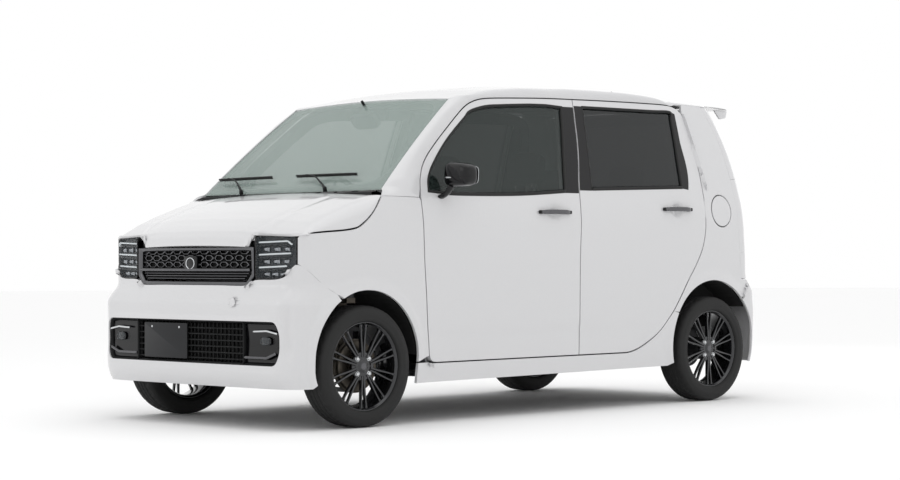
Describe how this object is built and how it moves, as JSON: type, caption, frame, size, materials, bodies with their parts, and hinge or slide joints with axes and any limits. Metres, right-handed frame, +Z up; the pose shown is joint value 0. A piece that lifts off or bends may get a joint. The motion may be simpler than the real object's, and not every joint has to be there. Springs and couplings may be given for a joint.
{
  "type": "kei car",
  "caption": "Tall boxy kei car with side doors, tailgate, bonnet and fuel lid that open, steered front wheels and a full cabin.",
  "frame": {"origin": "on the ground under the middle of the body's length and width", "axes": "+X forward, +Y to the car's left, +Z up"},
  "size_m": [3.3987, 1.8236, 1.7292],
  "materials": {
    "pearl_paint": "pearl white clear-coated paint",
    "body_primer": "body-colour primer on inner steel",
    "dark_chrome": "dark smoked chrome",
    "black_plastic": "grained black plastic",
    "gloss_black": "gloss black",
    "lamp_lens": "clear lamp lens over a dark housing",
    "red_lens": "red lamp lens",
    "clear_glass": "green-tinted laminated glass",
    "tinted_glass": "dark privacy glass",
    "seat_fabric": "dark woven cloth",
    "cast_aluminium": "cast, unpolished",
    "chassis_iron": "black-painted iron",
    "exhaust_steel": "aluminised steel",
    "plate_blank": "blank licence plate",
    "tyre": "black tyre rubber",
    "dark_alloy": "gloss dark alloy"
  },
  "bodies": {
    "body": {"floor_pan": "body_primer", "side_frames": "body_primer", "roof_rails": "pearl_paint", "rear_quarters": "pearl_paint", "roof_panel": "pearl_paint", "front_fenders": "pearl_paint", "side_skirts": "pearl_paint", "front_bumper": "pearl_paint", "rear_bumper": "pearl_paint", "front_grille": "dark_chrome", "bumper_grille": "black_plastic", "headlights": "lamp_lens", "tail_lights": "red_lens", "windscreen": "clear_glass", "wipers": "black_plastic", "cowl": "black_plastic", "dashboard": "black_plastic", "front_seats": "seat_fabric", "rear_seat": "seat_fabric", "bulkhead": "body_primer", "engine_block": "cast_aluminium", "rear_axle": "chassis_iron", "front_suspension": "chassis_iron", "exhaust": "exhaust_steel", "front_plate": "black_plastic", "arch_liners": "black_plastic", "roof_antenna": "black_plastic", "front_frame": "body_primer"},
    "door_front_left": {"front_door_left": "pearl_paint", "front_glass_left": "clear_glass", "door_mirror_left": "gloss_black"},
    "door_front_right": {"front_door_right": "pearl_paint", "front_glass_right": "clear_glass", "door_mirror_right": "gloss_black"},
    "door_rear_left": {"rear_door_left": "pearl_paint", "rear_glass_left": "tinted_glass"},
    "door_rear_right": {"rear_door_right": "pearl_paint", "rear_glass_right": "tinted_glass"},
    "gate": {"tailgate": "pearl_paint", "tailgate_glass": "tinted_glass", "roof_spoiler": "pearl_paint", "rear_plate": "plate_blank"},
    "hood": {"bonnet": "pearl_paint"},
    "filler_lid": {"fuel_lid": "pearl_paint"},
    "steer_left": {"knuckle_left": "chassis_iron"},
    "steer_right": {"knuckle_right": "chassis_iron"},
    "wheel_front_left": {"tyre_front_left": "tyre", "rim_front_left": "dark_alloy"},
    "wheel_front_right": {"tyre_front_right": "tyre", "rim_front_right": "dark_alloy"},
    "wheel_rear_left": {"tyre_rear_left": "tyre", "rim_rear_left": "dark_alloy"},
    "wheel_rear_right": {"tyre_rear_right": "tyre", "rim_rear_right": "dark_alloy"},
    "helm": {"steering_wheel": "black_plastic"}
  },
  "joints": [
    {"name": "front_door_left_swing", "type": "hinge", "parent": "body", "child": "door_front_left", "pos_m": [0.85, 0.7365, 0.7], "axis": [0, 0, -1], "range_deg": [0, 65]},
    {"name": "front_door_right_swing", "type": "hinge", "parent": "body", "child": "door_front_right", "pos_m": [0.85, -0.7365, 0.7], "axis": [0, 0, 1], "range_deg": [0, 65]},
    {"name": "rear_door_left_swing", "type": "hinge", "parent": "body", "child": "door_rear_left", "pos_m": [-0.238, 0.7375, 0.7], "axis": [0, 0, -1], "range_deg": [0, 65]},
    {"name": "rear_door_right_swing", "type": "hinge", "parent": "body", "child": "door_rear_right", "pos_m": [-0.238, -0.7375, 0.7], "axis": [0, 0, 1], "range_deg": [0, 65]},
    {"name": "tailgate_lift", "type": "hinge", "parent": "body", "child": "gate", "pos_m": [-1.459, 0, 1.641], "axis": [0, 1, 0], "range_deg": [0, 75]},
    {"name": "bonnet_lift", "type": "hinge", "parent": "body", "child": "hood", "pos_m": [1.12, 0, 1.088], "axis": [0, -1, 0], "range_deg": [0, 50]},
    {"name": "fuel_lid_swing", "type": "hinge", "parent": "body", "child": "filler_lid", "pos_m": [-1.3055, 0.7285, 1.024], "axis": [0, 0, -1], "range_deg": [0, 80]},
    {"name": "steer_left_turn", "type": "hinge", "parent": "body", "child": "steer_left", "pos_m": [1.2255, 0.61, 0.281], "axis": [0, 0, 1], "range_deg": [-34, 34]},
    {"name": "steer_right_turn", "type": "hinge", "parent": "body", "child": "steer_right", "pos_m": [1.2255, -0.61, 0.281], "axis": [0, 0, 1], "range_deg": [-34, 34]},
    {"name": "wheel_front_left_spin", "type": "hinge", "parent": "steer_left", "child": "wheel_front_left", "pos_m": [1.2255, 0.653, 0.281], "axis": [0, 1, 0], "continuous": true},
    {"name": "wheel_front_right_spin", "type": "hinge", "parent": "steer_right", "child": "wheel_front_right", "pos_m": [1.2255, -0.653, 0.281], "axis": [0, 1, 0], "continuous": true},
    {"name": "wheel_rear_left_spin", "type": "hinge", "parent": "body", "child": "wheel_rear_left", "pos_m": [-1.2945, 0.653, 0.281], "axis": [0, 1, 0], "continuous": true},
    {"name": "wheel_rear_right_spin", "type": "hinge", "parent": "body", "child": "wheel_rear_right", "pos_m": [-1.2945, -0.653, 0.281], "axis": [0, 1, 0], "continuous": true},
    {"name": "steering_wheel_turn", "type": "hinge", "parent": "body", "child": "helm", "pos_m": [0.44, -0.34, 1.017], "axis": [-0.9816, 0, 0.1908], "range_deg": [-510, 510]}
  ],
  "couplings": [
    {"joint": "steer_right_turn", "follows": "steer_left_turn", "ratio": 1},
    {"joint": "steering_wheel_turn", "follows": "steer_left_turn", "ratio": 15}
  ]
}
